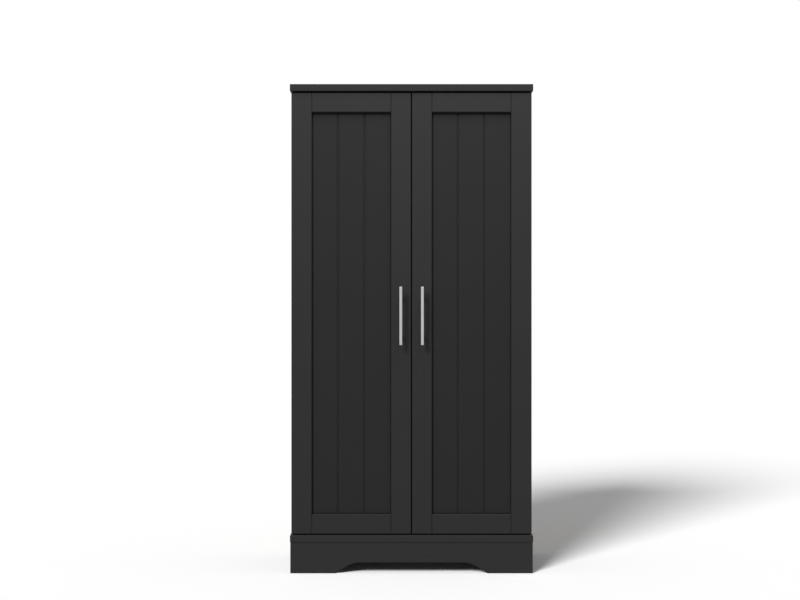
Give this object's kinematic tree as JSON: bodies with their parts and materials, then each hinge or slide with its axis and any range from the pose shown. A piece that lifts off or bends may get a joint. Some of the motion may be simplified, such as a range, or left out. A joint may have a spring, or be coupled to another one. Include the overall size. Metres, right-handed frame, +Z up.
{
  "type": "pantry cabinet",
  "caption": "Tall black pantry cabinet with framed, grooved doors, bar handles, adjustable and fixed shelves and an arched base.",
  "frame": {"origin": "middle of the footprint at floor level, handles included", "axes": "+X to the right seen from the front, +Y to the back, +Z up; the doors face -Y"},
  "size_m": [0.596, 0.349, 1.198],
  "materials": {
    "black_board": "satin black laminate on board",
    "door_paint": "satin black paint on fibreboard",
    "panel_paint": "satin black paint on a grooved fibreboard panel",
    "hardboard": "raw hardboard",
    "satin_nickel": "satin nickel",
    "hinge_steel": "nickel plated",
    "zinc_steel": "zinc plated",
    "cast_zinc": "die-cast zinc",
    "beech": "bare beech",
    "pine": "bare pine",
    "strip_plastic": "black extruded plastic",
    "bumper_rubber": "soft translucent grey"
  },
  "bodies": {
    "carcass": {"top_panel": "black_board", "bottom_panel": "black_board", "left_side_panel": "black_board", "right_side_panel": "black_board", "fixed_shelf": "black_board", "base_front_board": "black_board", "left_base_board": "black_board", "right_base_board": "black_board", "rear_base_rail": "black_board", "upper_back_panel": "hardboard", "lower_back_panel": "hardboard", "hinge_plates": "hinge_steel", "hinge_arms": "hinge_steel", "wall_brackets": "hinge_steel", "base_block_screws": "zinc_steel", "hinge_plate_screws": "zinc_steel", "hinge_arm_screws": "zinc_steel", "wall_bracket_screws": "zinc_steel", "cam_bolts": "zinc_steel", "upper_shelf_pins": "zinc_steel", "lower_shelf_pins": "zinc_steel", "cam_locks": "cast_zinc", "dowels": "beech", "base_corner_blocks": "pine", "back_joint_strip": "strip_plastic", "door_bumpers": "bumper_rubber"},
    "left_door": {"left_door_outer_stile": "door_paint", "left_door_inner_stile": "door_paint", "left_door_top_rail": "door_paint", "left_door_bottom_rail": "door_paint", "left_door_panel": "panel_paint", "left_handle_bar": "satin_nickel", "left_handle_posts": "satin_nickel", "left_hinge_cups": "hinge_steel", "left_hinge_pins": "hinge_steel", "left_cup_screws": "zinc_steel", "left_handle_screws": "zinc_steel"},
    "right_door": {"right_door_outer_stile": "door_paint", "right_door_inner_stile": "door_paint", "right_door_top_rail": "door_paint", "right_door_bottom_rail": "door_paint", "right_door_panel": "panel_paint", "right_handle_bar": "satin_nickel", "right_handle_posts": "satin_nickel", "right_hinge_cups": "hinge_steel", "right_hinge_pins": "hinge_steel", "right_cup_screws": "zinc_steel", "right_handle_screws": "zinc_steel"},
    "upper_shelf": {"upper_shelf": "black_board"},
    "lower_shelf": {"lower_shelf": "black_board"}
  },
  "joints": [
    {"name": "left_door_swing", "type": "hinge", "parent": "carcass", "child": "left_door", "pos_m": [-0.2865, -0.1315, 0.6365], "axis": [0, 0, -1], "range_deg": [0, 95]},
    {"name": "right_door_swing", "type": "hinge", "parent": "carcass", "child": "right_door", "pos_m": [0.2865, -0.1315, 0.6365], "axis": [0, 0, 1], "range_deg": [0, 95]},
    {"name": "upper_shelf_lift", "type": "slide", "parent": "carcass", "child": "upper_shelf", "axis": [0, 0, 1], "range_m": [0, 0.03]},
    {"name": "lower_shelf_lift", "type": "slide", "parent": "carcass", "child": "lower_shelf", "axis": [0, 0, 1], "range_m": [0, 0.03]}
  ]
}
